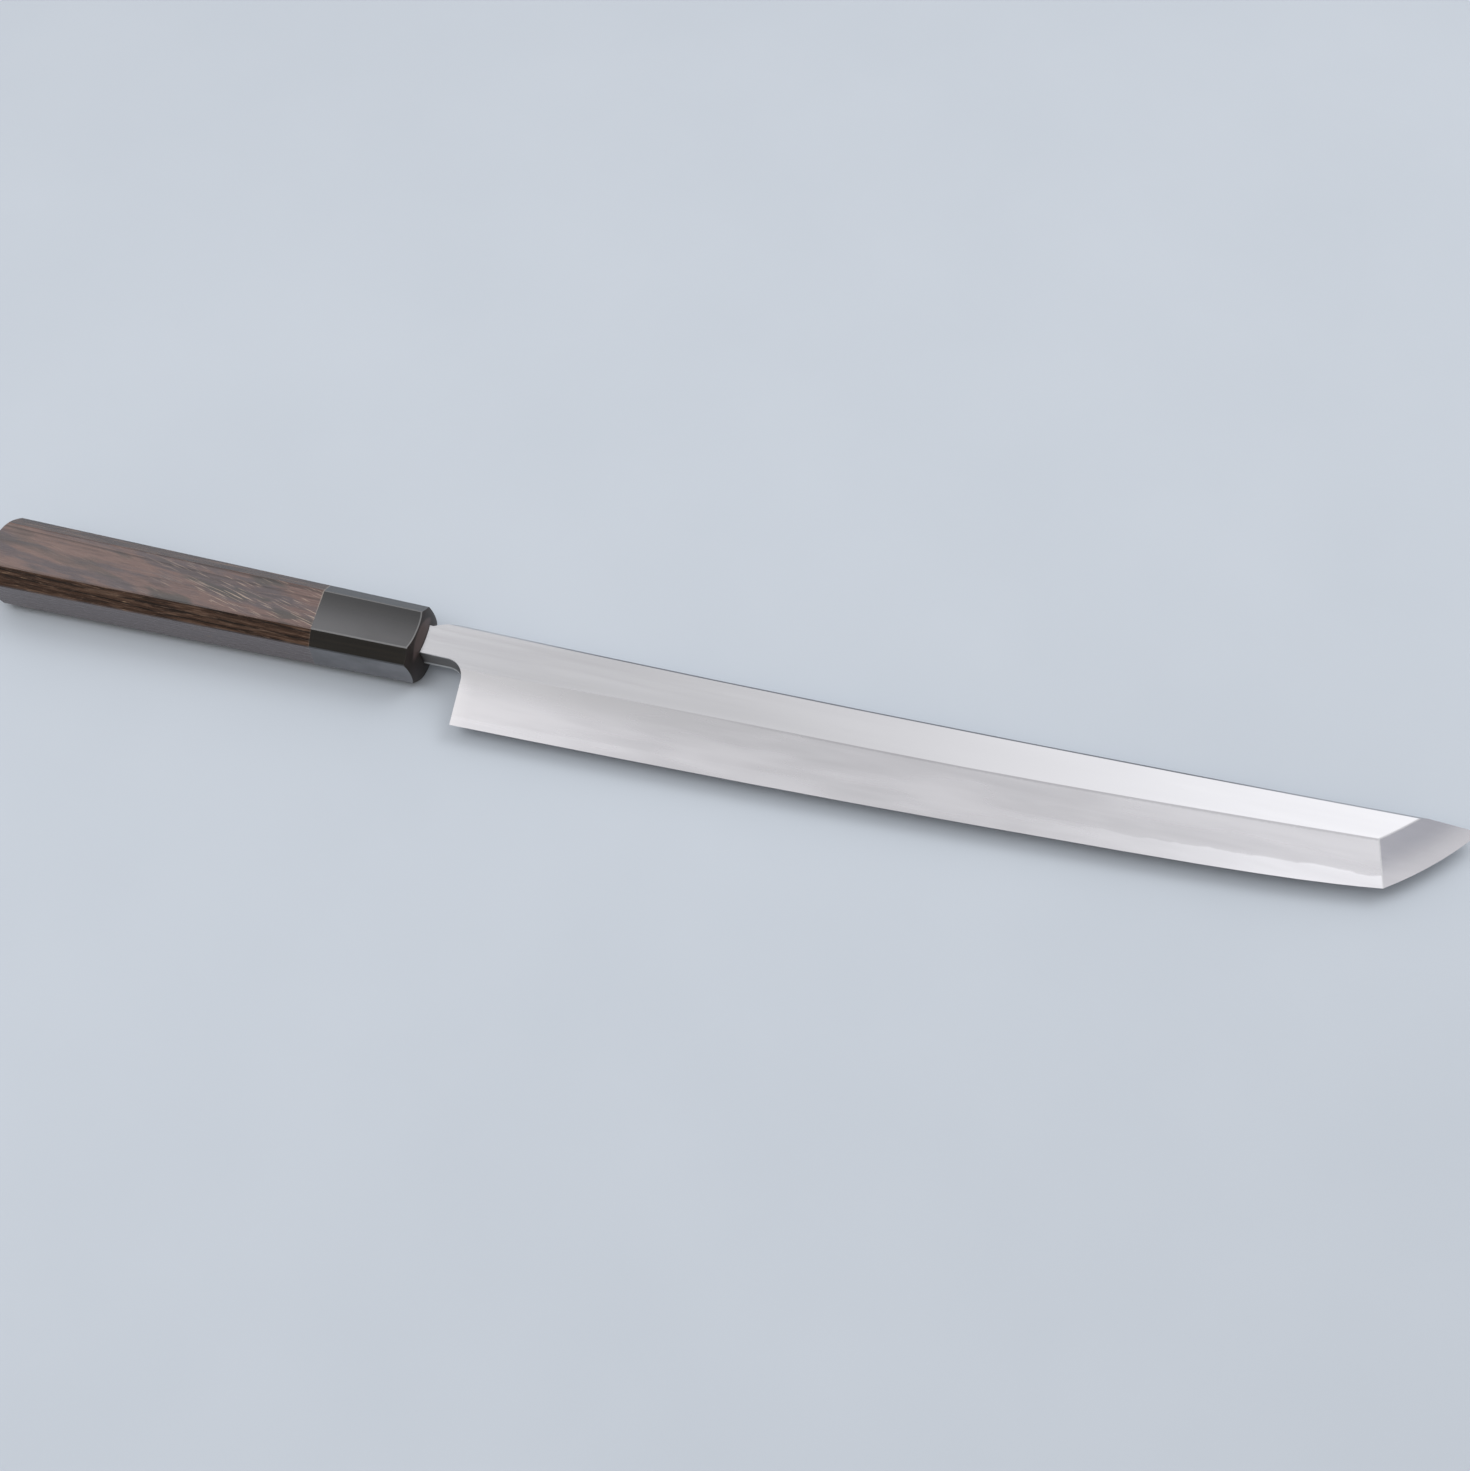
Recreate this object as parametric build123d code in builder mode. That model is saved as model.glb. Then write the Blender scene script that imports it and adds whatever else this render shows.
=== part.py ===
from build123d import *
import os
from math import asin, degrees, radians, sqrt, tan

# A sword-tipped slicing knife with an octagonal wooden handle, in millimetres.
# It lies on the handle's lower side, bevelled side up: +X runs from butt to tip, +Y from edge to spine.
# The origin is on the table under the middle of the knife.

# Handle
handle_length = 149.2
ferrule_length = 36.2
front_width = 22.7
front_thick = 19.6
butt_width = 26.4
butt_thick = 21.2
corner_width_share = 0.196
corner_height_share = 0.214
corner_ease = 0.3
sole_shave = 0.05

# Domed ends of the handle: a shallow crown of some reach, then a rounder arc to the corners
# The ferrule's front stands a few degrees aslant: back at its upper side and on the edge's side
# Its middle is set back a little from the plane that the blade is measured from
front_crown_radius = 44.0
front_crown_reach = 10.0
front_round_radius = 7.2
front_lean = 6.3
front_skew = 3.4
front_setback = 0.6
butt_crown_radius = 60.0
butt_crown_reach = 4.0
butt_round_radius = 13.5

# Neck, between the ferrule and the heel
neck_thick = 7.2
neck_below = 4.4
neck_above = 5.8
neck_inset = 4.0
mouth_gap = 0.25
spine_drop_radius = 21.0
choil_radius = 6.0
heel_lean = 0.4

# Blade outline, measured from the ferrule's front and from the handle's centre line
blade_reach = 337.8
heel_reach = 13.2
tip_run = 27.0
heel_drop = 24.2
belly_rise = 11.1
spine_height = 8.35
spine_rise = 3.4
tip_bulge = 1.3

# Blade section
point_thick = 3.5
taper_power = 3
spine_bevel_run = 0.7
spine_bevel_drop = 0.45
edge_land = 0.12
steel_thick = 1.2
steel_lead = 8.4

# Ridge of the tip's bevel: its two ends, back from the point and down from the spine there
ridge_top_back = 19.2
ridge_low_back = 31.6
ridge_low_drop = 10.2
ridge_bulge = 0.2

# From heel to corner: the place along the edge, the edge's rise, the wide bevel's part of the height
edge_shares = [
    (0.0, 0.0, 0.526),
    (0.2, 0.057, 0.572),
    (0.4, 0.153, 0.576),
    (0.6, 0.306, 0.575),
    (0.78, 0.482, 0.595),
    (0.9, 0.658, 0.607),
    (0.97, 0.83, 0.604),
]
# The blank runs on past the corner, with the edge's rise and the bevel's part of the height there
blank_run = 29.76
blank_shares = (1.45, 0.57)

# Hollow-ground back: the wheel's radius and the flat rim left along edge and spine
hollow_wheel_radius = 240.0
rim_width = 2.4
# Its outline: the place along the edge, and the hollow's lower and upper limit between the rims
hollow_shares = [
    (0.016, 0.46, 0.62),
    (0.022, 0.32, 0.76),
    (0.032, 0.18, 0.87),
    (0.046, 0.07, 0.95),
    (0.066, 0.0, 1.0),
    (0.2, 0.0, 1.0),
    (0.4, 0.0, 1.0),
    (0.6, 0.0, 1.0),
    (0.78, 0.0, 1.0),
    (0.9, 0.0, 1.0),
    (0.97, 0.04, 1.0),
    (1.0, 0.2, 1.0),
    (1.03, 0.46, 1.0),
    (1.05, 0.68, 0.99),
    (1.06, 0.82, 0.97),
]

# Tang, its seat and the dowel that joins ferrule and grip
tang_length = 105.0
tang_end_height = 4.0
tang_end_thick = 2.4
seat_end_gap = 4.0
dowel_diameter = 14.0
dowel_length = 58.0
dowel_chamfer = 0.8
mouth_wall = 9.0

# Every cut runs past what it cuts by this much
overrun = 20.0

# Places that follow from the sizes above
front_x = (handle_length - blade_reach) / 2
axis_y = (heel_drop - butt_width / 2) / 2
axis_z = front_thick / 2
back_z = axis_z - neck_thick / 2
corner_reach = blade_reach - tip_run
edge_length = corner_reach - heel_reach
edge_rows = [*edge_shares, (1 + blank_run / edge_length, *blank_shares)]
steel_start = heel_reach - steel_lead
# How far the cuts reach
cut_height = neck_thick + 2 * overrun
behind = -neck_inset - overrun
below = -heel_drop - overrun
above = spine_height + overrun


def level(z):
    """The level plane at height z. Its origin is on the centre line at the ferrule's front."""
    return Plane(origin=(front_x, axis_y, z), x_dir=(1, 0, 0), z_dir=(0, 0, 1))


def across(x):
    """The plane across the knife at x in front of the ferrule, drawn in width and height."""
    return Plane(origin=(front_x + x, axis_y, 0), x_dir=(0, 1, 0), z_dir=(1, 0, 0))


def handle_size(x):
    """Width and thickness of the tapered handle at x."""
    share = -x / handle_length
    width = front_width + (butt_width - front_width) * share
    thick = front_thick + (butt_thick - front_thick) * share
    return width, thick


def octagon(x):
    """The handle's eight-sided section at x, with a shaving left on its lower side."""
    width, thick = handle_size(x)
    flat = width / 2 - width * corner_width_share
    low = thick * corner_height_share
    high = thick - low
    right = [(flat, -sole_shave), (width / 2, low), (width / 2, high), (flat, thick)]
    left = [(-y, z) for y, z in reversed(right)]
    with BuildSketch(across(x)) as section:
        with BuildLine():
            Polyline(*right, *left, close=True)
        make_face()
        chamfer(section.vertices(), corner_ease)
    return section.sketch


def dome(end_x, far_x, crown_radius, crown_reach, round_radius, lean=0, skew=0):
    """A body turned about nearly the handle's axis. It ends in a dome at end_x and runs on past far_x."""
    side = (end_x - far_x) / abs(end_x - far_x)
    crown_turn = degrees(asin(crown_reach / crown_radius))
    outside = crown_reach + round_radius + overrun
    back = far_x - side * overrun
    middle = Vector(front_x + end_x, axis_y, handle_size(end_x)[1] / 2)
    turning = Vector(1, -tan(radians(skew)), tan(radians(lean))).normalized()
    sideways = turning.cross(Vector(0, 0, 1))
    with BuildPart() as turned:
        with BuildSketch(Plane(origin=middle - turning * end_x, x_dir=turning, z_dir=sideways)):
            with BuildLine():
                crown = JernArc((end_x, 0), (0, 1), crown_radius, side * crown_turn)
                shoulder = JernArc(crown @ 1, crown % 1, round_radius, side * (90 - crown_turn))
                rim = shoulder @ 1
                Polyline(rim, (rim.X, outside), (back, outside), (back, 0), (end_x, 0))
            make_face()
        revolve(axis=Axis(middle, turning))
    return turned.part


def blade_thick(x):
    """Thickness at x: it falls quickly in front of the neck and is nearly even towards the point."""
    return point_thick + (neck_thick - point_thick) * (1 - x / blade_reach) ** taper_power


def spine_at(x):
    """Height of the spine above the centre line at x: level at the heel, then slowly rising."""
    along = max(0, (x - heel_reach) / (blade_reach - heel_reach))
    return spine_height + spine_rise * along**2


def edge_at(share):
    """Place of the edge across the knife, at a share of the way from heel to corner."""
    for (start, low, _), (end, high, _) in zip(edge_rows, edge_rows[1:]):
        if share <= end:
            break
    return -heel_drop + belly_rise * (low + (high - low) * (share - start) / (end - start))


def blade_section(x, rise_share, bevel_share):
    """The single-bevel section at x: spine, flat side, wide bevel and edge, with stock below the back."""
    spine = spine_at(x)
    edge = -heel_drop + belly_rise * rise_share
    ridge = edge + (spine - edge) * bevel_share
    top = back_z + blade_thick(x)
    with BuildSketch(across(x)) as section:
        with BuildLine():
            Polyline(
                (edge, back_z - overrun),
                (spine, back_z - overrun),
                (spine, top - spine_bevel_drop),
                (spine - spine_bevel_run, top),
                (ridge, top),
                (edge, back_z + edge_land),
                close=True,
            )
        make_face()
    return section.sketch


def hollow_section(share, low_share, high_share):
    """The hollow's section: a shallow slice of the grinding wheel, rising from the flat back."""
    x = heel_reach + edge_length * share
    rim_low = edge_at(share) + rim_width
    rim_high = spine_at(x) - rim_width
    low = rim_low + (rim_high - rim_low) * low_share
    high = rim_low + (rim_high - rim_low) * high_share
    half = (high - low) / 2
    depth = hollow_wheel_radius - sqrt(hollow_wheel_radius**2 - half**2)
    with BuildSketch(across(x)) as section:
        with BuildLine():
            ThreePointArc((low, back_z), (low + half, back_z + depth), (high, back_z))
            Polyline((high, back_z), (high, back_z - overrun), (low, back_z - overrun), (low, back_z))
        make_face()
    return section.sketch


def beyond(start, end, bulge, height):
    """All that lies in front of a slightly round line at a height. The line runs on past both ends."""
    half = (end - start) / 2
    radius = (half.length**2 + bulge**2) / (2 * bulge)
    run_on = half.length + overrun
    along = half.normalized()
    inward = Vector(-along.Y, along.X)
    middle = (start + end) / 2 - inward * bulge
    bent = inward * (radius - sqrt(radius**2 - run_on**2))
    low = middle - along * run_on + bent
    high = middle + along * run_on + bent
    far = inward * -2 * overrun
    with BuildSketch(level(height)) as section:
        with BuildLine():
            ThreePointArc(low, middle, high)
            Polyline(high, high + far, low + far, low)
        make_face()
    return section.sketch


# The tip: its edge runs from the corner to the point, and its ridge crosses the flat side
corner = Vector(corner_reach, edge_at(1.0))
point = Vector(blade_reach, spine_at(blade_reach))
ridge_top = Vector(blade_reach - ridge_top_back, spine_at(blade_reach - ridge_top_back))
ridge_low = Vector(blade_reach - ridge_low_back, spine_at(blade_reach - ridge_low_back) - ridge_low_drop)

# The forged blade before the steel layer is told apart
neck_section = blade_section(-neck_inset, *edge_rows[0][1:])
blade_sections = [
    blade_section(heel_reach + edge_length * share, rise, bevel) for share, rise, bevel in edge_rows
]
with BuildPart() as forging:
    loft([neck_section, *blade_sections])
    # The flat back
    split(bisect_by=level(back_z), keep=Keep.TOP)
    # Heel, choil and the neck's lower side
    choil_end = (heel_reach + heel_lean, -neck_below - choil_radius)
    choil_start = (choil_end[0] - choil_radius, -neck_below)
    with BuildSketch(level(back_z - overrun)):
        with BuildLine():
            RadiusArc(choil_start, choil_end, choil_radius)
            Polyline(
                choil_end,
                (heel_reach, -heel_drop),
                (heel_reach, below),
                (behind, below),
                (behind, -neck_below),
                choil_start,
            )
        make_face()
    extrude(amount=cut_height, mode=Mode.SUBTRACT)
    # The spine's round drop to the neck
    drop = spine_height - neck_above
    drop_end = (sqrt(spine_drop_radius**2 - (spine_drop_radius - drop) ** 2), spine_height)
    with BuildSketch(level(back_z - overrun)):
        with BuildLine():
            RadiusArc((0, neck_above), drop_end, spine_drop_radius)
            Polyline(drop_end, (drop_end[0], above), (behind, above), (behind, neck_above), (0, neck_above))
        make_face()
    extrude(amount=cut_height, mode=Mode.SUBTRACT)
    # The slanted, slightly round edge of the tip, and the bevel that runs from it up to its ridge
    edge_front = beyond(corner, point, tip_bulge, back_z + edge_land)
    ridge_front = beyond(ridge_low, ridge_top, ridge_bulge, back_z + blade_thick(ridge_low.X))
    loft([edge_front, ridge_front], ruled=True, mode=Mode.SUBTRACT)
    extrude(edge_front, amount=-overrun, mode=Mode.SUBTRACT)
    extrude(ridge_front, amount=overrun, mode=Mode.SUBTRACT)
    # The hollow of the back
    loft([hollow_section(*row) for row in hollow_shares], ruled=True, mode=Mode.SUBTRACT)

# Hard steel layer: the lowest part of the forging, from the neck to the point
with BuildPart() as steel_space:
    with BuildSketch(level(back_z + steel_thick)):
        with Locations((steel_start, 0)):
            Rectangle(blade_reach, 2 * (heel_drop + overrun), align=(Align.MIN, Align.CENTER))
    extrude(amount=-steel_thick - overrun)

with BuildPart() as blade_steel:
    add(forging.part)
    add(steel_space.part, mode=Mode.INTERSECT)

# Hidden tang: it goes on from the neck and tapers to its end inside the grip
neck_low = (-neck_below, back_z)
neck_high = (neck_above, back_z + blade_thick(-neck_inset))
neck_middle = ((neck_low[0] + neck_high[0]) / 2, (neck_low[1] + neck_high[1]) / 2)


def tang_section(x, height, thick):
    """The tang's rectangular section at x, about the middle of the neck."""
    with BuildSketch(across(x)) as section:
        with Locations(neck_middle):
            Rectangle(height, thick)
    return section.sketch


with BuildPart() as tang:
    loft(
        [
            tang_section(-tang_length, tang_end_height, tang_end_thick),
            tang_section(-neck_inset, neck_high[0] - neck_low[0], neck_high[1] - neck_low[1]),
        ]
    )

# Soft iron: the rest of the forging, with neck and tang
with BuildPart() as blade_iron:
    add(forging.part)
    add(steel_space.part, mode=Mode.SUBTRACT)
    add(tang.part)

# Joining dowel, slotted for the tang. Its bore in horn and wood is the dowel before slotting
with BuildPart() as dowel_space:
    with BuildSketch(across(-mouth_wall)):
        with Locations((0, axis_z)):
            Circle(dowel_diameter / 2)
    extrude(amount=-dowel_length)
    chamfer(dowel_space.edges().filter_by(GeomType.CIRCLE), dowel_chamfer)

with BuildPart() as joining_dowel:
    add(dowel_space.part)
    add(tang.part, mode=Mode.SUBTRACT)

# Horn ferrule
with BuildPart() as ferrule:
    loft([octagon(-ferrule_length), octagon(0)], ruled=True)
    split(bisect_by=level(0), keep=Keep.TOP)
    front_dome = dome(
        -front_setback,
        -ferrule_length,
        front_crown_radius,
        front_crown_reach,
        front_round_radius,
        lean=front_lean,
        skew=front_skew,
    )
    add(front_dome, mode=Mode.INTERSECT)
    add(dowel_space.part, mode=Mode.SUBTRACT)
    add(tang.part, mode=Mode.SUBTRACT)
    with BuildSketch(across(-neck_inset)):
        with Locations(neck_middle):
            Rectangle(
                neck_high[0] - neck_low[0] + 2 * mouth_gap,
                neck_high[1] - neck_low[1] + 2 * mouth_gap,
            )
    extrude(amount=neck_inset + overrun, mode=Mode.SUBTRACT)

# Wooden grip
with BuildPart() as grip:
    loft([octagon(-handle_length), octagon(-ferrule_length)], ruled=True)
    split(bisect_by=level(0), keep=Keep.TOP)
    butt_dome = dome(
        -handle_length, -ferrule_length, butt_crown_radius, butt_crown_reach, butt_round_radius
    )
    add(butt_dome, mode=Mode.INTERSECT)
    add(dowel_space.part, mode=Mode.SUBTRACT)
    add(tang.part, mode=Mode.SUBTRACT)
    with BuildSketch(across(-tang_length)):
        with Locations(neck_middle):
            Rectangle(tang_end_height, tang_end_thick)
    extrude(amount=-seat_end_gap, mode=Mode.SUBTRACT)

os.makedirs("parts", exist_ok=True)
blade_iron.part.label = "blade_iron"
export_step(blade_iron.part, "parts/blade_iron.step")
blade_steel.part.label = "blade_steel"
export_step(blade_steel.part, "parts/blade_steel.step")
ferrule.part.label = "ferrule"
export_step(ferrule.part, "parts/ferrule.step")
grip.part.label = "grip"
export_step(grip.part, "parts/grip.step")
joining_dowel.part.label = "joining_dowel"
export_step(joining_dowel.part, "parts/joining_dowel.step")
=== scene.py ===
"""Looks of a sword-tipped slicing knife: blade finishes, horn and wood, the table it lies on and the light."""

import bpy
import numpy as np
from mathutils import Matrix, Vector

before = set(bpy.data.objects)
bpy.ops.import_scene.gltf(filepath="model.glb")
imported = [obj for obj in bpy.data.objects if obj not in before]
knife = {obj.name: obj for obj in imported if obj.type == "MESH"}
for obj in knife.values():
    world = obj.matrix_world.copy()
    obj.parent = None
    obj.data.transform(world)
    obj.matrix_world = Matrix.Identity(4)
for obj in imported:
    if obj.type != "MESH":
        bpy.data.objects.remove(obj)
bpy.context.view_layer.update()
MM = 0.001

# Places along the knife's length, in metres
FERRULE_FRONT = -0.0943
JOINT_X = -0.1305
HEEL_X = -0.083
CORNER_X = 0.2165
POINT_X = 0.2435
# From where to where the neck's sides turn into the choil's, and the choil's into the spine's
CHOIL_RANGE = (FERRULE_FRONT + 0.011, FERRULE_FRONT + 0.016)
SPINE_RANGE = (FERRULE_FRONT + 0.0155, FERRULE_FRONT + 0.022)
# From where to where the grip's calm figure near the butt turns into the lively one near the ferrule
FIGURE_RANGE = (-0.22, -0.17)

# The ridge that bounds the tip's bevel: its place where y is 0, and how far it runs back for each metre of y
RIDGE_X = 0.2135
RIDGE_SLANT = 0.2456

# Heights over the table and thicknesses of the blade, in metres
BLADE_BACK = 0.0062
STEEL_TOP = 0.0074
POINT_THICK = 0.0035
NECK_THICK = 0.0072

# The ferrule's domed front: its middle, the direction of its axis, its crown, and the round arc outside the crown
DOME_MIDDLE = (-0.0949, 0.0055, 0.0098)
DOME_AXIS = (0.9922, -0.0589, 0.1095)
DOME_CROWN_REACH = 10 * MM
DOME_ROUND_RADIUS = 0.0072
DOME_ROUND_MIDDLE = 0.008363
DOME_ROUND_REACH = 0.008163

# Slopes along y between which a side of the handle stops being the near one
NEAR_SIDE = (-0.98, -0.90)

# The grip's growth layers: how they climb along x and z for each metre of y, their spread and their thickness
LAYER_ALONG = 0.13
LAYER_RISE = 4.0
LAYER_SPREAD = 4.14
LAYER_THICK = 0.9 * MM
# How far the slow and the quick noise shift the layers along y
BEND_SHIFT = 10 * MM
SWIRL_SHIFT = 2.6 * MM
# How far the grip's pale flecks and its flames turn from its length, in radians
FLECK_TURN = 0.26
FLAME_TURN = 0.18

# The table, the camera and the lamps, in metres, with lens and sensor in millimetres
TABLE_REACH = 4.0
CAMERA_PLACE = (0.07931, -0.30743, 0.63514)
CAMERA_AIM = (0.00822, 0.00116, 0.0)
CAMERA_LENS = 53.88
CAMERA_SENSOR = 36.0
CAMERA_NEAR = 0.01
CAMERA_FAR = 20.0
LAMP_SIZE = 0.45

# Patches of sky: the limits of each for the direction's x, y and, where it has them, z, and its strength
SKY_WINDOWS = (
    # A large bright window behind the tip and a second one behind the handle
    (((-0.14, 0.20, 0.30, 0.55), (0.16, 0.42, 0.75, 0.95)), 0.72),
    (((-0.60, -0.48, -0.28, -0.20), (0.20, 0.37, 0.50, 0.70)), 0.92),
    # Gentle rises over the tip and over the heel
    (((0.06, 0.22, 0.27, 0.45), (-0.40, -0.10, 0.12, 0.35)), 0.46),
    (((-0.70, -0.45, -0.15, -0.02), (-0.70, -0.50, -0.24, -0.02)), 0.50),
    # Dimmer to the right, nearly dark in front of the handle and dim in front of the blade
    (((0.28, 0.45, 2.00, 3.00), (-0.60, -0.30, 0.30, 0.50)), -0.12),
    (((-0.80, -0.55, 0.00, 0.25), (-2.00, -0.96, -0.76, -0.52), (0.15, 0.33, 0.80, 1.00)), -0.52),
    (((0.00, 0.25, 2.00, 3.00), (-2.00, -1.50, -0.50, -0.20), (0.30, 0.50, 2.00, 3.00)), -0.52),
)
# The front of the sky, where its light is warmer, for the direction's y and z
WARM_FRONT = ((-2.00, -1.50, -0.70, -0.30), (0.25, 0.45, 2.00, 3.00))


# Short ways to write node trees

def node(tree, kind, *values, named=None, out=0, **options):
    """Adds a node, fills its sockets in order and by name, and gives back one output."""
    made = tree.nodes.new("ShaderNode" + kind)
    for key, value in options.items():
        setattr(made, key, value)
    pairs = list(zip(made.inputs, values))
    pairs += [(made.inputs[key], value) for key, value in (named or {}).items()]
    for socket, value in pairs:
        if isinstance(value, bpy.types.NodeSocket):
            tree.links.new(value, socket)
        elif value is not None:
            socket.default_value = value
    return made.outputs[out]


def calc(tree, operation, *values):
    """One step of arithmetic."""
    return node(tree, "Math", *values, operation=operation)


def product(tree, *shares):
    """All shares multiplied together."""
    total = shares[0]
    for share in shares[1:]:
        total = calc(tree, "MULTIPLY", total, share)
    return total


def remainder(tree, share):
    """What a share leaves of the whole."""
    return calc(tree, "SUBTRACT", 1.0, share)


def fade(tree, value, low, high, start=0.0, end=1.0):
    """Goes smoothly from start at low to end at high."""
    return node(tree, "MapRange", value, low, high, start, end, interpolation_type="SMOOTHSTEP")


def between(tree, share, first, second):
    """First value where share is 0, second where it is 1."""
    return node(tree, "Mix", share, None, first, second)


def mix(tree, share, first, second):
    """First colour where share is 0, second where it is 1."""
    made = tree.nodes.new("ShaderNodeMix")
    made.data_type = "RGBA"
    for socket, value in ((0, share), (6, first), (7, second)):
        if isinstance(value, bpy.types.NodeSocket):
            tree.links.new(value, made.inputs[socket])
        else:
            made.inputs[socket].default_value = value
    return made.outputs[2]


def coat(tree, ground, paint, *shares):
    """Lays a paint over a ground colour, as strongly as the product of the shares."""
    return mix(tree, product(tree, *shares), ground, paint)


def tone(red, green, blue):
    """An opaque colour in linear light."""
    return (red, green, blue, 1.0)


def place(tree):
    """Object coordinates, whole and split into x, y and z."""
    spot = node(tree, "TexCoord", out=3)
    split = tree.nodes.new("ShaderNodeSeparateXYZ")
    tree.links.new(spot, split.inputs[0])
    return spot, *split.outputs


def facing(tree):
    """The surface's true normal, split into x, y and z."""
    made = tree.nodes.new("ShaderNodeNewGeometry")
    split = tree.nodes.new("ShaderNodeSeparateXYZ")
    tree.links.new(made.outputs["True Normal"], split.inputs[0])
    return split.outputs


def grain(tree, spot, stretch, detail=2.0, roughness=0.5, turn=0.0):
    """Noise between 0 and 1, drawn out by one scale per axis in cycles per metre, turned about the vertical first."""
    turned = node(tree, "Mapping", spot, None, (0, 0, turn), (1, 1, 1)) if turn else spot
    drawn = node(tree, "Mapping", turned, None, (0, 0, 0), stretch)
    return node(tree, "TexNoise", named={"Vector": drawn, "Scale": 1.0, "Detail": detail, "Roughness": roughness})


def line_noise(tree, along, scale, detail=2.0):
    """Noise along one value."""
    named = {"W": calc(tree, "MULTIPLY", along, scale), "Scale": 1.0, "Detail": detail}
    return node(tree, "TexNoise", named=named, noise_dimensions="1D")


def finish(name, **constants):
    """A new material with its shader's constant values set on the shader itself."""
    made = bpy.data.materials.new(name)
    made.use_nodes = True
    shader = made.node_tree.nodes["Principled BSDF"]
    for key, value in constants.items():
        shader.inputs[key.replace("_", " ")].default_value = value
    return made, made.node_tree, shader


def feed(tree, shader, colour, rough=None, relief=None):
    """Links a shader's colour, its roughness and a bump given as height, strength and distance."""
    tree.links.new(colour, shader.inputs["Base Color"])
    if rough is not None:
        tree.links.new(rough, shader.inputs["Roughness"])
    if relief is not None:
        height, strength, distance = relief
        bump = node(tree, "Bump", named={"Strength": strength, "Distance": distance, "Height": height})
        tree.links.new(bump, shader.inputs["Normal"])


def dress(piece, made):
    """Gives a piece one material all over, in each of its slots."""
    if not piece.material_slots:
        piece.data.materials.append(made)
    for slot in piece.material_slots:
        slot.material = made


# The blade

def flat_depth(tree, x, z):
    """How far a point lies under the flat side.

    The flat side's height is the back's, plus the point's thickness, plus the cube of the share of the length
    that is left to the point times what the neck is thicker.
    """
    left = calc(tree, "DIVIDE", calc(tree, "SUBTRACT", POINT_X, x), POINT_X - FERRULE_FRONT)
    cubed = calc(tree, "POWER", calc(tree, "MAXIMUM", left, 0.0), 3.0)
    flat_height = calc(tree, "MULTIPLY_ADD", cubed, NECK_THICK - POINT_THICK, POINT_THICK + BLADE_BACK)
    return calc(tree, "SUBTRACT", flat_height, z)


def hard_steel(tree, x, z):
    """Share of hard steel that shows: 1 below a wavy line along the edge, fading in towards the tip.

    The line's height is the steel's, plus a slow wave of about 0.1 mm, and it sinks by 0.2 mm to the edge's corner.
    """
    wave = calc(tree, "MULTIPLY", calc(tree, "SUBTRACT", line_noise(tree, x, 60, 5), 0.5), 0.55 * MM)
    sinking = fade(tree, x, CORNER_X - 0.025, CORNER_X, 0.0, -0.2 * MM)
    line_height = calc(tree, "ADD", calc(tree, "ADD", wave, sinking), STEEL_TOP)
    steel = fade(tree, calc(tree, "SUBTRACT", z, line_height), -0.07 * MM, 0.07 * MM, 1.0, 0.0)
    return product(tree, steel, fade(tree, x, 0.09, 0.18, 0.12, 1.0))


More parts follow.
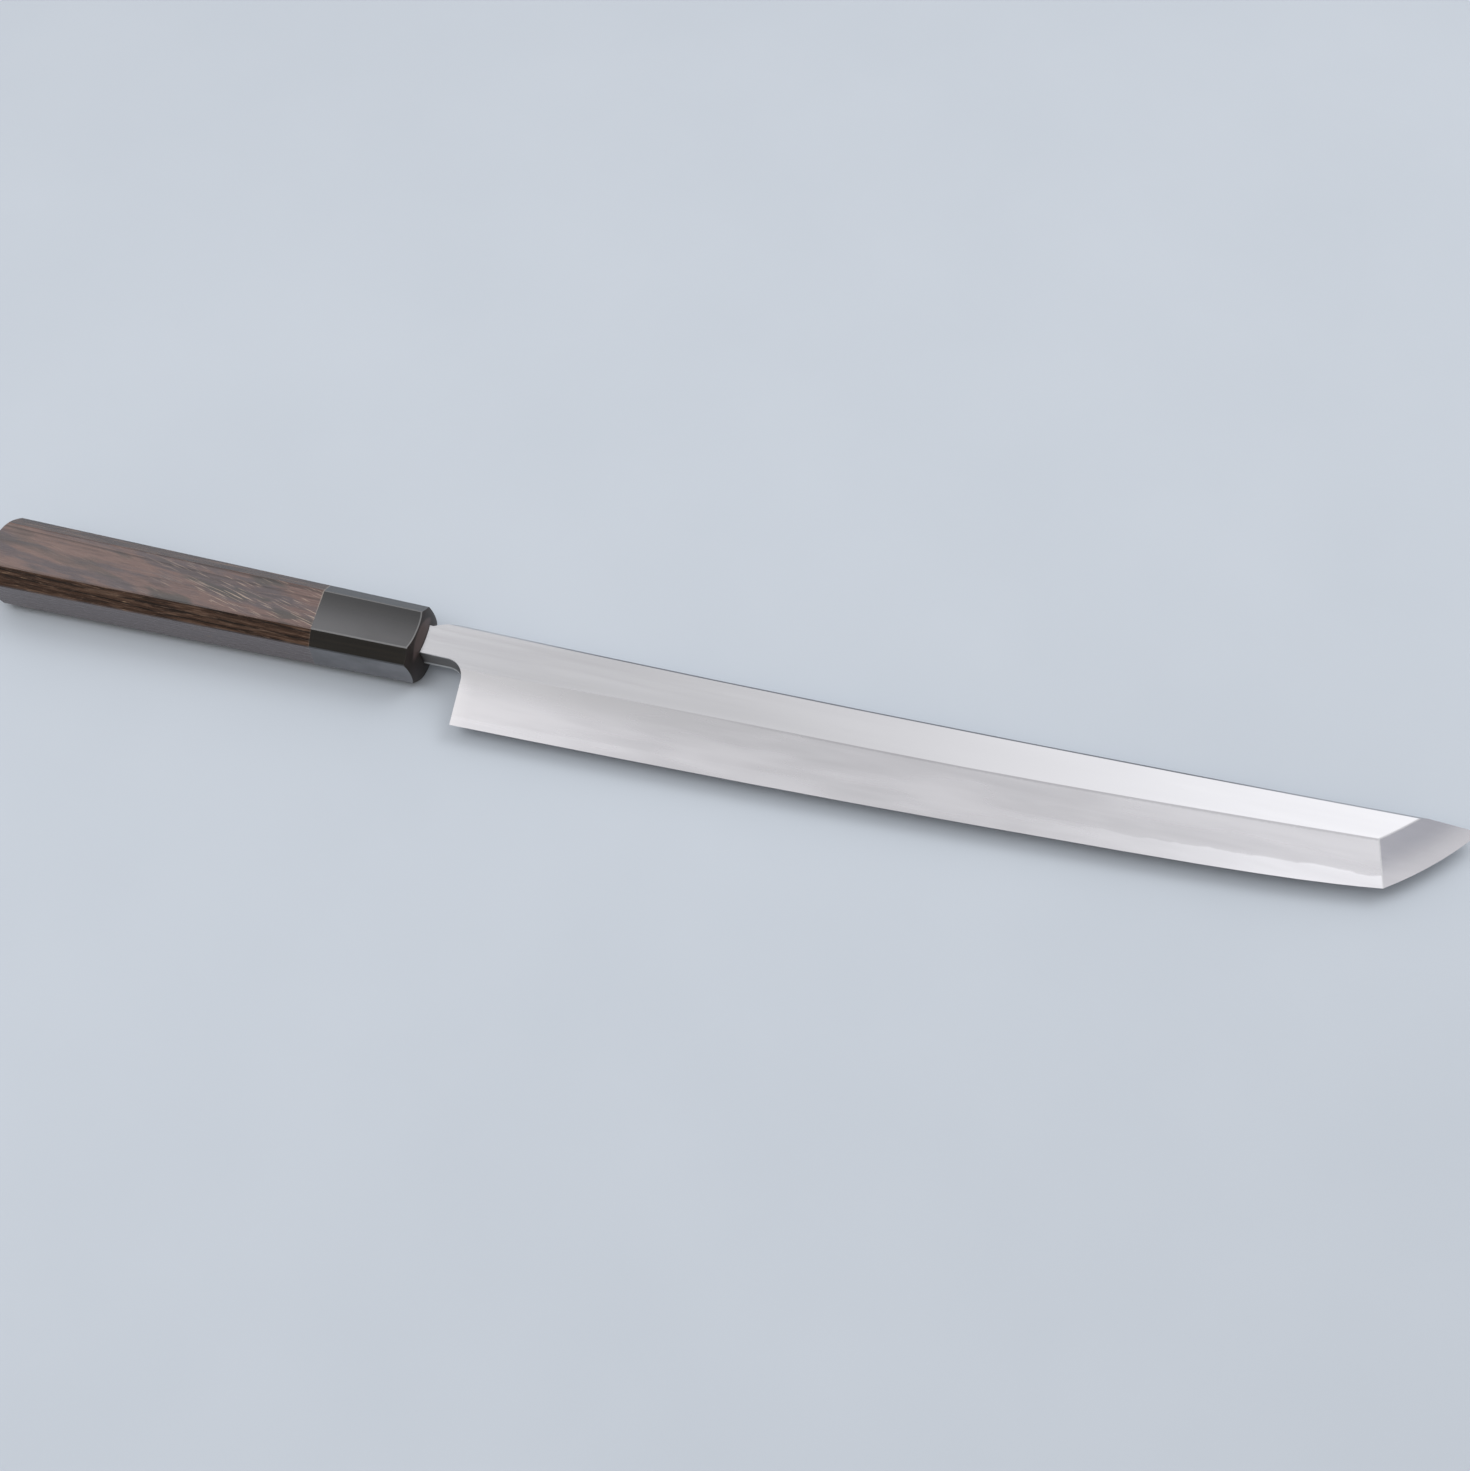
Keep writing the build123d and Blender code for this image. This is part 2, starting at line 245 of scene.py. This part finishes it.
def blade_finish(name):
    """Polished laminated steel.

    The flat side is brightest, the wide bevel is hazy and the tip's bevel is darker. The neck's sides keep a dark
    skin, with painted shade on the choil and along the spine and painted highlights along the neck's and choil's
    corners;
    the hollow of the back is ground crosswise and its rim is polished lengthwise.
    """
    made, tree, shader = finish(name, Metallic=1.0)
    spot, x, y, z = place(tree)
    slope_x, slope_y, slope_z = facing(tree)
    depth = flat_depth(tree, x, z)
    steel = hard_steel(tree, x, z)

    # The blade's faces, told by their slopes
    upper = fade(tree, slope_z, 0.5, 0.7)
    under = fade(tree, slope_z, -0.7, -0.5, 1.0, 0.0)
    steep = calc(tree, "SUBTRACT", remainder(tree, upper), under)
    tip = product(tree, upper, fade(tree, slope_x, 0.07, 0.12))
    wide = product(tree, upper, fade(tree, slope_y, -0.14, -0.09, 1.0, 0.0), remainder(tree, tip))

    # Clouds and blotches of haze, and lengthwise polishing lines
    cloud = grain(tree, spot, (22, 160, 160))
    blotch = grain(tree, spot, (50, 300, 300), 1)
    streak = grain(tree, spot, (9, 700, 700))
    scratch = grain(tree, spot, (30, 3000, 3000), 1)

    flat_tone = mix(tree, streak, tone(0.645, 0.643, 0.655), tone(0.672, 0.670, 0.684))
    flat_tone = coat(tree, flat_tone, tone(0.71, 0.708, 0.72), fade(tree, cloud, 0.35, 0.7, 0.0, 0.3))

    # The wide bevel, with a soft band of painted shade under the ridge in its rear half and a bright heel
    hazy = calc(tree, "MULTIPLY_ADD", blotch, 0.3, calc(tree, "MULTIPLY", cloud, 0.7))
    bevel_tone = mix(tree, fade(tree, hazy, 0.3, 0.7), tone(0.635, 0.628, 0.645), tone(0.735, 0.728, 0.745))
    bevel_tone = coat(tree, bevel_tone, tone(0.76, 0.75, 0.77), fade(tree, streak, 0.4, 0.7), 0.15)
    bright = mix(tree, blotch, tone(0.77, 0.765, 0.785), tone(0.87, 0.865, 0.885))
    bevel_tone = coat(tree, bevel_tone, bright, steel)
    bevel_tone = coat(tree, bevel_tone, tone(0.56, 0.557, 0.565),
                      fade(tree, depth, 0.0, 3.6 * MM, 0.95, 0.0), fade(tree, x, -0.04, 0.06, 1.0, 0.0))
    bevel_tone = coat(tree, bevel_tone, tone(0.84, 0.83, 0.84),
                      fade(tree, x, HEEL_X, HEEL_X + 0.008, 0.5, 0.0), fade(tree, depth, 0.0, 3 * MM))
    colour = mix(tree, wide, flat_tone, bevel_tone)

    # The tip's bevel, with bright worn lines along the two ridges that bound it
    towards_edge = fade(tree, z, BLADE_BACK + 0.1 * MM, BLADE_BACK + 2.6 * MM, 1.0, 0.0)
    tip_tone = mix(tree, towards_edge, tone(0.55, 0.56, 0.61), tone(0.90, 0.89, 0.92))
    tip_tone = coat(tree, tip_tone, tone(0.66, 0.63, 0.655), cloud, 0.35)
    past_ridge = calc(tree, "ADD", calc(tree, "MULTIPLY_ADD", y, RIDGE_SLANT, x), -RIDGE_X)
    worn = calc(tree, "MAXIMUM", fade(tree, past_ridge, 0.2 * MM, 0.7 * MM, 1.0, 0.0),
                fade(tree, depth, 0.04 * MM, 0.15 * MM, 1.0, 0.0))
    tip_tone = coat(tree, tip_tone, tone(0.95, 0.95, 0.96), worn, 0.8)
    colour = coat(tree, colour, tip_tone, tip)

    # Thin dark lines: painted shade on the eased corner of the spine, and the uneven ridge between flat and bevel
    colour = coat(tree, colour, tone(0.27, 0.27, 0.285), upper, fade(tree, slope_y, 0.3, 0.45),
                  fade(tree, x, -0.075, -0.03, 0.0, 0.9), fade(tree, x, 0.15, 0.20, 1.0, 0.3))
    jag = calc(tree, "MULTIPLY", line_noise(tree, x, 900), 0.1 * MM)
    ridge = fade(tree, calc(tree, "SUBTRACT", depth, jag), 0.02 * MM, 0.16 * MM, 1.0, 0.0)
    colour = coat(tree, colour, tone(0.42, 0.42, 0.43), ridge, fade(tree, x, -0.03, 0.05, 0.0, 0.5), wide)

    # Dark skin on the neck's sides, darker on the choil as painted shade, with painted highlights along its corners,
    # and a lighter painted shade along the spine
    neck_tone = mix(tree, blotch, tone(0.15, 0.143, 0.138), tone(0.29, 0.275, 0.262))
    # Painted shade: darker still on the choil
    neck_tone = coat(tree, neck_tone, tone(0.11, 0.105, 0.10), fade(tree, x, *CHOIL_RANGE))
    # Painted highlights along the lower and upper corners of the neck and choil
    corner_highlight = calc(tree, "MAXIMUM", fade(tree, z, BLADE_BACK + 0.9 * MM, BLADE_BACK + 1.3 * MM, 1.0, 0.0),
                  fade(tree, depth, 0.3 * MM, 0.6 * MM, 1.0, 0.0))
    neck_tone = coat(tree, neck_tone, tone(0.80, 0.79, 0.77), corner_highlight, 0.85)
    # Painted shade on the spine's steep faces
    spine = mix(tree, streak, tone(0.24, 0.245, 0.26), tone(0.34, 0.345, 0.36))
    colour = coat(tree, colour, mix(tree, fade(tree, x, *SPINE_RANGE), neck_tone, spine), steep)

    # Ground hollow and polished rim of the back
    hollow = product(tree, under, fade(tree, z, BLADE_BACK + 0.005 * MM, BLADE_BACK + 0.03 * MM))
    across = grain(tree, spot, (1500, 45, 45), 3, 0.6)
    colour = coat(tree, colour, mix(tree, across, tone(0.56, 0.565, 0.58), tone(0.74, 0.745, 0.76)), hollow)

    wide_rough = calc(tree, "MULTIPLY_ADD", steel, -0.05, fade(tree, cloud, 0.2, 0.8, 0.24, 0.31))
    rough = between(tree, wide, fade(tree, streak, 0.2, 0.8, 0.15, 0.21), wide_rough)
    rough = between(tree, hollow, rough, 0.3)
    rough = between(tree, steep, rough, 0.42)
    lines = between(tree, hollow, calc(tree, "MULTIPLY_ADD", scratch, 0.5, streak), across)
    feed(tree, shader, colour, rough, (lines, 0.03, 0.01 * MM))
    return made


# Horn and wood

def dome_place(tree, x, y, z):
    """Radius from the axis of the ferrule's domed front, and how far a point lies behind the dome along that axis.

    The axis leaves the front's middle along (1, -tan of the skew, tan of the lean). At radius r from it the dome
    falls back by its round arc: round reach less the root of (round radius squared less (r - round middle) squared).
    Within the crown's reach it is taken to fall back as far as it does at that reach.
    """
    from_middle = [calc(tree, "SUBTRACT", value, middle) for value, middle in zip((x, y, z), DOME_MIDDLE)]
    along = calc(tree, "MULTIPLY", from_middle[0], DOME_AXIS[0])
    square = calc(tree, "MULTIPLY", from_middle[0], from_middle[0])
    for value, share in zip(from_middle[1:], DOME_AXIS[1:]):
        along = calc(tree, "MULTIPLY_ADD", value, share, along)
        square = calc(tree, "MULTIPLY_ADD", value, value, square)
    radius = calc(tree, "SQRT", calc(tree, "SUBTRACT", square, calc(tree, "MULTIPLY", along, along)))
    beyond = calc(tree, "SUBTRACT", calc(tree, "MAXIMUM", radius, DOME_CROWN_REACH), DOME_ROUND_MIDDLE)
    under_root = calc(tree, "SUBTRACT", DOME_ROUND_RADIUS**2, calc(tree, "MULTIPLY", beyond, beyond))
    surface = calc(tree, "SUBTRACT", calc(tree, "SQRT", under_root), DOME_ROUND_REACH)
    return radius, calc(tree, "SUBTRACT", surface, along)


def horn_finish():
    """Polished black buffalo horn: nearly black, with faint brown streaks along the handle and a soft gloss."""
    made, tree, shader = finish("black_horn", Specular_IOR_Level=1.0)
    spot, x, y, z = place(tree)
    slope_x, slope_y, slope_z = facing(tree)
    streak = grain(tree, spot, (18, 500, 500), 4, 0.6)
    cloud = grain(tree, spot, (70, 110, 110), 3)
    colour = mix(tree, fade(tree, streak, 0.45, 0.75), tone(0.008, 0.008, 0.008), tone(0.02, 0.017, 0.014))

    # Painted sheen on the upper side, bright at its near edge and fading to its far one, and a painted reflection of
    # the table on the near side
    level = fade(tree, slope_z, 0.9, 0.99)
    far = product(tree, level, fade(tree, y, -0.002, 0.013))
    colour = coat(tree, colour, mix(tree, far, tone(0.062, 0.061, 0.064), tone(0.006, 0.006, 0.006)),
                  level, fade(tree, x, JOINT_X, FERRULE_FRONT, 1.0, 0.8), fade(tree, cloud, 0.3, 0.7, 0.7, 1.0))
    colour = coat(tree, colour, tone(0.140, 0.140, 0.155),
                  fade(tree, slope_y, *NEAR_SIDE, 1.0, 0.0), fade(tree, cloud, 0.3, 0.7, 0.6, 1.0))

    # Painted highlights on the narrow eased long edges beside the upper side, and a duller front
    colour = coat(tree, colour, tone(0.12, 0.12, 0.122), fade(tree, slope_z, 0.86, 0.90),
                  fade(tree, slope_z, 0.95, 0.98, 1.0, 0.0), fade(tree, slope_x, 0.03, 0.06, 1.0, 0.0))
    front = fade(tree, slope_x, 0.35, 0.6)
    colour = coat(tree, colour, mix(tree, streak, tone(0.010, 0.007, 0.006), tone(0.024, 0.016, 0.013)), front)

    # A painted brownish reflection of the blade on the front above the neck, kept inside the dome's outer ring, and a
    # painted pale highlight along the rim where the dome meets the upper side
    radius, behind = dome_place(tree, x, y, z)
    colour = coat(tree, colour, tone(0.085, 0.060, 0.056), front, fade(tree, z, 12.5 * MM, 15.0 * MM),
                  fade(tree, radius, 8.8 * MM, 9.8 * MM, 1.0, 0.0), 0.85)
    # Painted highlight along the dome's rim
    colour = coat(tree, colour, tone(0.15, 0.15, 0.15), fade(tree, slope_x, 0.05, 0.12, 1.0, 0.0),
                  fade(tree, behind, 0.25 * MM, 0.6 * MM, 1.0, 0.0), fade(tree, slope_z, 0.9, 0.98, 0.05, 1.0), 0.8)

    # The upper side reflects less towards its far side, part of the same painted sheen, and the duller front less
    # still
    shine = mix(tree, far, tone(1, 1, 1), tone(0.62, 0.62, 0.62))
    tree.links.new(coat(tree, shine, tone(0.38, 0.35, 0.34), front), shader.inputs["Specular Tint"])
    rough = between(tree, front, calc(tree, "MULTIPLY_ADD", cloud, 0.1, 0.15), 0.5)
    feed(tree, shader, colour, rough, (grain(tree, spot, (90, 1800, 1800), 3), 0.12, 0.02 * MM))
    return made


def wood_finish():
    """Dark wenge.

    The growth layers lie nearly level and dip towards the edge's side: layer number = (0.13 x + y + 4 z) / 4.14
    over 0.9 mm, bent by slow noise. Noise along that number gives dark bands, brown bands and thin pale lines.
    """
    made, tree, shader = finish("dark_wood", Specular_IOR_Level=0.6)
    spot, x, y, z = place(tree)
    slope_y, slope_z = facing(tree)[1:]
    bend = grain(tree, spot, (17, 80, 80))
    swirl = grain(tree, spot, (55, 260, 260), 3)
    rise = y
    for value, share in ((x, LAYER_ALONG), (z, LAYER_RISE), (bend, BEND_SHIFT), (swirl, SWIRL_SHIFT)):
        rise = calc(tree, "MULTIPLY_ADD", value, share, rise)
    layer = calc(tree, "DIVIDE", rise, LAYER_SPREAD * LAYER_THICK)

    band = line_noise(tree, layer, 1.0, 3)
    strand = grain(tree, spot, (75, 950, 950), 3, 0.6)
    fibre = grain(tree, spot, (190, 2600, 2600), 2, 0.6)
    pore = grain(tree, spot, (160, 4200, 4200))
    patch = grain(tree, spot, (45, 130, 130), 3)
    warm = grain(tree, spot, (32, 150, 120), 3, 0.55, FLAME_TURN)
    cool = grain(tree, spot, (42, 190, 150), turn=FLAME_TURN)

    dark = tone(0.012, 0.006, 0.0045)
    brown = tone(0.048, 0.024, 0.015)
    light = tone(0.20, 0.122, 0.082)
    colour = mix(tree, fade(tree, band, 0.30, 0.50), dark, brown)
    colour = coat(tree, colour, light, fade(tree, band, 0.54, 0.74), 0.22)
    colour = coat(tree, colour, light, fade(tree, strand, 0.52, 0.68), 0.4)
    colour = coat(tree, colour, dark, fade(tree, strand, 0.34, 0.48, 1.0, 0.0), 0.8)
    colour = coat(tree, colour, light, fade(tree, fibre, 0.56, 0.72), 0.5)
    colour = coat(tree, colour, dark, fade(tree, fibre, 0.30, 0.44, 1.0, 0.0), 0.7)

    # The polished upper side gets its own lighter colour, partly the wood's figure and partly painted sheen: pinkish
    # where the layers rise to it and greenish grey where they fall away
    level = fade(tree, slope_z, 0.85, 0.98)
    towards_butt = fade(tree, x, -0.235, JOINT_X, 1.0, 0.0)
    pink = mix(tree, towards_butt, tone(0.152, 0.094, 0.082), tone(0.180, 0.116, 0.100))
    flame = calc(tree, "MULTIPLY_ADD", band, 0.3, calc(tree, "MULTIPLY", warm, 0.7))
    sheen = mix(tree, fade(tree, flame, 0.43, 0.56), tone(0.096, 0.077, 0.082), pink)
    lively = fade(tree, x, *FIGURE_RANGE, 0.25, 0.42)
    sheen = coat(tree, sheen, tone(0.235, 0.165, 0.145), fade(tree, fibre, 0.54, 0.70), lively)
    sheen = coat(tree, sheen, tone(0.040, 0.030, 0.028), fade(tree, strand, 0.32, 0.47, 1.0, 0.0), lively)
    sheen = coat(tree, sheen, tone(0.058, 0.056, 0.052), fade(tree, cool, 0.53, 0.62),
                 fade(tree, x, *FIGURE_RANGE, 0.45, 1.0), 0.8)
    colour = coat(tree, colour, sheen, level, 0.88)
    # A painted reflection of the table on the near side
    colour = coat(tree, colour, tone(0.148, 0.129, 0.136), fade(tree, slope_y, *NEAR_SIDE, 1.0, 0.0), 0.88)

    # Dark straight lines along the far side of the upper face
    far_lines = line_noise(tree, calc(tree, "MULTIPLY_ADD", x, 0.03, y), 700)
    colour = coat(tree, colour, dark, level, fade(tree, y, 0.004, 0.012), fade(tree, far_lines, 0.36, 0.5, 1.0, 0.0),
                  0.6)

    # Thin pale flecks where cut fibres surface, slanted across the upper side near the ferrule
    fleck = grain(tree, spot, (115, 3000, 900), 1, 0.5, FLECK_TURN)
    colour = coat(tree, colour, tone(0.38, 0.29, 0.23), fade(tree, fleck, 0.60, 0.67), fade(tree, patch, 0.46, 0.54),
                  fade(tree, y, -0.006, 0.0, 0.3, 1.0), fade(tree, x, -0.20, -0.15, 0.15, 1.0), level, 0.8)
    colour = coat(tree, colour, tone(0.3, 0.2, 0.12), fade(tree, fibre, 0.66, 0.72), fade(tree, patch, 0.5, 0.6),
                  remainder(tree, level), 0.7)

    # The pale glue line at the horn
    colour = coat(tree, colour, tone(0.3, 0.27, 0.24), fade(tree, x, JOINT_X - 0.4 * MM, JOINT_X - 0.2 * MM),
                  fade(tree, y, 0.001, 0.008, 0.1, 0.55))

    height = calc(tree, "MULTIPLY_ADD", fibre, 0.6, fade(tree, pore, 0.35, 0.5))
    feed(tree, shader, colour, fade(tree, fibre, 0.2, 0.8, 0.18, 0.32), (height, 0.2, 0.025 * MM))
    return made


def dowel_finish():
    """Plain pale wood with fine straight grain along the dowel."""
    made, tree, shader = finish("pale_wood", Roughness=0.6)
    fibre = grain(tree, place(tree)[0], (40, 900, 900), 3)
    colour = mix(tree, fibre, tone(0.5, 0.36, 0.2), tone(0.68, 0.53, 0.34))
    feed(tree, shader, colour, relief=(fibre, 0.3, 0.05 * MM))
    return made


dress(knife["blade_iron"], blade_finish("polished_iron"))
dress(knife["blade_steel"], blade_finish("polished_steel"))
dress(knife["ferrule"], horn_finish())
dress(knife["grip"], wood_finish())
dress(knife["joining_dowel"], dowel_finish())


# The table

def table_surface():
    """A level sheet at height zero that reaches equally far all round, as one four-sided face."""
    corners = np.array([(-1, -1, 0), (1, -1, 0), (1, 1, 0), (-1, 1, 0)], float) * TABLE_REACH
    mesh = bpy.data.meshes.new("table")
    mesh.from_pydata(corners.tolist(), [], [(0, 1, 2, 3)])
    made = bpy.data.objects.new("table", mesh)
    bpy.context.scene.collection.objects.link(made)
    return made


def table_finish():
    """Matt pale blue-grey board with a very faint mottle."""
    made, tree, shader = finish("table_grey", Roughness=0.75, Specular_IOR_Level=0.2)
    mottle = grain(tree, place(tree)[0], (14, 14, 14), 4)
    feed(tree, shader, mix(tree, mottle, tone(0.532, 0.582, 0.640), tone(0.574, 0.623, 0.681)))
    return made


table = table_surface()
dress(table, table_finish())


# Light

def window(tree, directions, limits, strength=1.0):
    """A soft-edged bright or dim patch of sky: for each axis the four values between which it rises and falls."""
    shares = [strength]
    for direction, (rise, full, last, gone) in zip(directions, limits):
        shares += [fade(tree, direction, rise, full), fade(tree, direction, last, gone, 1.0, 0.0)]
    return product(tree, *shares)


def studio_sky():
    """Pale light that grows towards the top and is bluish low down, with soft bright windows behind the knife.

    In front the sky is dimmer and warmer, so that the near sides and the shadow's core stay dark and nearly grey.
    """
    world = bpy.data.worlds.new("studio")
    world.use_nodes = True
    bpy.context.scene.world = world
    tree = world.node_tree
    split = tree.nodes.new("ShaderNodeSeparateXYZ")
    tree.links.new(node(tree, "TexCoord"), split.inputs[0])
    up = split.outputs[2]
    strength = fade(tree, up, 0.0, 0.8, 0.60, 0.74)
    for limits, change in SKY_WINDOWS:
        strength = calc(tree, "ADD", strength, window(tree, split.outputs, limits, change))
    cast = mix(tree, fade(tree, up, 0.05, 0.35), tone(0.935, 1.0, 1.09), tone(0.985, 0.985, 1.01))
    cast = coat(tree, cast, tone(1.12, 1.0, 0.86), window(tree, split.outputs[1:], WARM_FRONT))
    back = tree.nodes["Background"]
    tree.links.new(cast, back.inputs["Color"])
    tree.links.new(strength, back.inputs["Strength"])


def aim_at(made, where, aim):
    """Places a lamp or the camera and turns it towards a point."""
    made.location = where
    made.rotation_euler = (Vector(aim) - Vector(where)).to_track_quat("-Z", "Y").to_euler()


def soft_lamp(name, where, aim, power):
    """A square lamp that shines from one point towards another and isn't mirrored in the blade."""
    data = bpy.data.lights.new(name, "AREA")
    data.shape = "SQUARE"
    data.size = LAMP_SIZE
    data.energy = power
    made = bpy.data.objects.new(name, data)
    bpy.context.scene.collection.objects.link(made)
    aim_at(made, where, aim)
    made.visible_glossy = False


studio_sky()
soft_lamp("right_lamp", where=(0.40, 0.42, 0.75), aim=(0.15, 0, 0), power=1.75)
soft_lamp("left_lamp", where=(-0.45, -0.10, 0.75), aim=(-0.15, 0, 0), power=1.7)


# Camera

def photo_camera():
    """The photograph's view: from the edge's side and above, a little to the right, without tilt."""
    data = bpy.data.cameras.new("photo_view")
    data.sensor_fit = "HORIZONTAL"
    data.sensor_width = CAMERA_SENSOR
    data.lens = CAMERA_LENS
    data.clip_start = CAMERA_NEAR
    data.clip_end = CAMERA_FAR
    made = bpy.data.objects.new("photo_view", data)
    bpy.context.scene.collection.objects.link(made)
    aim_at(made, CAMERA_PLACE, CAMERA_AIM)
    bpy.context.scene.camera = made


photo_camera()
bpy.context.scene.view_settings.view_transform = "Standard"
